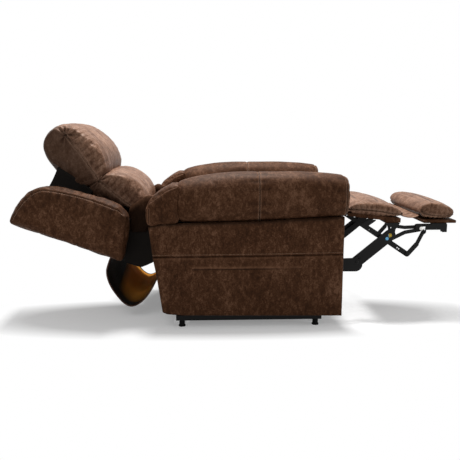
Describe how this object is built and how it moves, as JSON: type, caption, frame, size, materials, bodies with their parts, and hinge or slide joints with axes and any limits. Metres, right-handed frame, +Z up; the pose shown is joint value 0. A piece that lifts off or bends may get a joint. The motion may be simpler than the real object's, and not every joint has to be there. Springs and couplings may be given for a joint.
{
  "type": "lift recliner chair",
  "caption": "Powered lift recliner chair: padded arms, hinged back with pillows and headrest, folding footrest with sliding extension, and a tilting lift base.",
  "frame": {"origin": "on the floor, under the middle of the chair's overall length and width in the reclined pose", "axes": "+X towards the sitter's feet, +Y to the sitter's left, +Z up"},
  "size_m": [1.9901, 0.913, 0.8864],
  "materials": {
    "black_steel": "satin black paint",
    "leather": "distressed dark brown faux leather",
    "leather_light": "distressed dark brown faux leather, worn lighter",
    "dark_cloth": "black backing cloth",
    "timber": "plain plywood",
    "webbing": "woven elastic webbing",
    "rubber": "matt",
    "actuator": "dark grey",
    "rod": "bright",
    "bush": "coloured nylon",
    "rivet": "bright",
    "handset": "dark grey",
    "button": "grey"
  },
  "bodies": {
    "base": {"base_frame": "black_steel", "rest_bumpers": "rubber", "floor_glides": "black_steel"},
    "lift_arms": {"main_lift_arms": "black_steel"},
    "front_arms": {"front_lift_arms": "black_steel"},
    "lift_motor": {"lift_actuator": "actuator"},
    "lift_rod": {"lift_rod": "rod"},
    "chair": {"lift_frame": "black_steel", "seat_frame": "black_steel", "seat_webbing": "webbing", "seat_cushion": "leather_light", "right_arm_frame": "timber", "right_inner_panel": "leather", "right_outer_panel": "leather", "right_front_panel": "leather", "right_arm_roll": "leather", "right_rear_wedge": "leather", "left_arm_frame": "timber", "left_inner_panel": "leather", "left_outer_panel": "leather", "left_front_panel": "leather", "left_arm_roll": "leather", "left_rear_wedge": "leather", "control_box": "actuator", "handset_holster": "dark_cloth", "hand_control": "handset", "back_skirt": "dark_cloth"},
    "lift_up_button": {"lift_up_button": "button"},
    "lift_down_button": {"lift_down_button": "button"},
    "back_button": {"back_button": "button"},
    "footrest_button": {"footrest_button": "button"},
    "recline_motor": {"recline_actuator": "actuator"},
    "recline_rod": {"recline_rod": "rod"},
    "back": {"back_frame": "timber", "back_webbing": "webbing", "back_outer_panel": "leather", "right_wing": "leather", "left_wing": "leather", "lower_back_cover": "dark_cloth", "lumbar_pillow": "leather_light", "lower_pillow": "leather_light"},
    "headrest": {"headrest_plate": "timber", "head_pillow": "leather_light"},
    "foot_motor": {"footrest_actuator": "actuator"},
    "foot_rod": {"footrest_rod": "rod"},
    "cranks": {"footrest_cranks": "black_steel"},
    "ottoman_links": {"ottoman_links": "black_steel", "link_bushes": "bush"},
    "guide_links": {"guide_links": "black_steel"},
    "ottoman": {"ottoman_brackets": "black_steel", "ottoman_board": "leather", "ottoman_pad": "leather_light", "footrest_flap": "leather_light"},
    "extension": {"extension_rails": "black_steel", "guide_rivets": "rivet", "extension_board": "leather", "extension_pad": "leather_light"},
    "prop_links": {"prop_links": "black_steel"}
  },
  "joints": [
    {"name": "lift", "type": "hinge", "parent": "base", "child": "lift_arms", "pos_m": [-0.168, 0, 0.06], "axis": [0, 1, 0], "range_deg": [-50, 0]},
    {"name": "chair_tilt", "type": "hinge", "parent": "lift_arms", "child": "chair", "pos_m": [0.212, 0, 0.075], "axis": [0, 1, 0], "range_deg": [0, 72.08]},
    {"name": "front_arm_swing", "type": "hinge", "parent": "base", "child": "front_arms", "pos_m": [-0.019, 0, 0.065], "axis": [0, 1, 0], "range_deg": [-58.39, 0]},
    {"name": "lift_motor_tilt", "type": "hinge", "parent": "base", "child": "lift_motor", "pos_m": [0.15, 0, 0.068], "axis": [0, 1, 0], "range_deg": [-7.8, 0]},
    {"name": "lift_rod_slide", "type": "slide", "parent": "lift_motor", "child": "lift_rod", "axis": [-0.9361, 0, 0.3518], "range_m": [0, 0.08988]},
    {"name": "recline", "type": "hinge", "parent": "chair", "child": "back", "pos_m": [-0.299, 0, 0.427], "axis": [0, 1, 0], "range_deg": [0, 62], "deforming": ["back_skirt"]},
    {"name": "recline_motor_tilt", "type": "hinge", "parent": "chair", "child": "recline_motor", "pos_m": [0.034, 0, 0.29], "axis": [0, 1, 0], "range_deg": [0, 5.05]},
    {"name": "recline_rod_slide", "type": "slide", "parent": "recline_motor", "child": "recline_rod", "axis": [-0.9862, 0, 0.1653], "range_m": [0, 0.07575]},
    {"name": "headrest", "type": "hinge", "parent": "back", "child": "headrest", "pos_m": [-0.67466, 0, 0.55847], "axis": [0, 1, 0], "range_deg": [-20, 0]},
    {"name": "footrest", "type": "hinge", "parent": "chair", "child": "cranks", "pos_m": [0.311, 0, 0.343], "axis": [0, 1, 0], "range_deg": [0, 78]},
    {"name": "ottoman_link_swing", "type": "hinge", "parent": "cranks", "child": "ottoman_links", "pos_m": [0.537, 0, 0.263], "axis": [0, 1, 0], "range_deg": [-112.42, 0]},
    {"name": "ottoman_tilt", "type": "hinge", "parent": "ottoman_links", "child": "ottoman", "pos_m": [0.687, 0, 0.387], "axis": [0, 1, 0], "range_deg": [0, 124.43]},
    {"name": "guide_link_swing", "type": "hinge", "parent": "ottoman", "child": "guide_links", "pos_m": [0.664, 0, 0.361], "axis": [0, 1, 0], "range_deg": [-122.31, 0]},
    {"name": "prop_swing", "type": "hinge", "parent": "ottoman", "child": "prop_links", "pos_m": [0.775, 0, 0.295], "axis": [0, 1, 0], "range_deg": [-32.99, 0]},
    {"name": "extension_slide", "type": "slide", "parent": "ottoman", "child": "extension", "axis": [-1, 0, 0], "range_m": [0, 0.0701], "deforming": ["footrest_flap"]},
    {"name": "footrest_motor_tilt", "type": "hinge", "parent": "chair", "child": "foot_motor", "pos_m": [-0.056, 0, 0.335], "axis": [0, 1, 0], "range_deg": [-5.22, 0]},
    {"name": "footrest_rod_slide", "type": "slide", "parent": "foot_motor", "child": "foot_rod", "axis": [0.9878, 0, -0.1556], "range_m": [-0.08174, 0]},
    {"name": "lift_up_button_press", "type": "slide", "parent": "chair", "child": "lift_up_button", "axis": [0, -1, 0], "range_m": [0, 0.0015], "stiffness_N_per_m": 400},
    {"name": "lift_down_button_press", "type": "slide", "parent": "chair", "child": "lift_down_button", "axis": [0, -1, 0], "range_m": [0, 0.0015], "stiffness_N_per_m": 400},
    {"name": "back_button_press", "type": "slide", "parent": "chair", "child": "back_button", "axis": [0, -1, 0], "range_m": [0, 0.0015], "stiffness_N_per_m": 400},
    {"name": "footrest_button_press", "type": "slide", "parent": "chair", "child": "footrest_button", "axis": [0, -1, 0], "range_m": [0, 0.0015], "stiffness_N_per_m": 400}
  ],
  "couplings": [
    {"joint": "chair_tilt", "follows": "lift", "ratio": -1.44},
    {"joint": "front_arm_swing", "follows": "lift", "ratio": 1.1665},
    {"joint": "lift_motor_tilt", "follows": "lift", "ratio": 0.15561},
    {"joint": "lift_rod_slide", "follows": "lift", "m_per_rad": -0.10288},
    {"joint": "recline_motor_tilt", "follows": "recline", "ratio": 0.081192},
    {"joint": "recline_rod_slide", "follows": "recline", "m_per_rad": 0.069921},
    {"joint": "ottoman_link_swing", "follows": "footrest", "ratio": -1.4397},
    {"joint": "ottoman_tilt", "follows": "footrest", "ratio": 1.5936},
    {"joint": "guide_link_swing", "follows": "footrest", "ratio": -1.5664},
    {"joint": "prop_swing", "follows": "footrest", "ratio": -0.42243},
    {"joint": "extension_slide", "follows": "footrest", "m_per_rad": 0.051419},
    {"joint": "footrest_motor_tilt", "follows": "footrest", "ratio": -0.066789},
    {"joint": "footrest_rod_slide", "follows": "footrest", "m_per_rad": -0.059978}
  ]
}
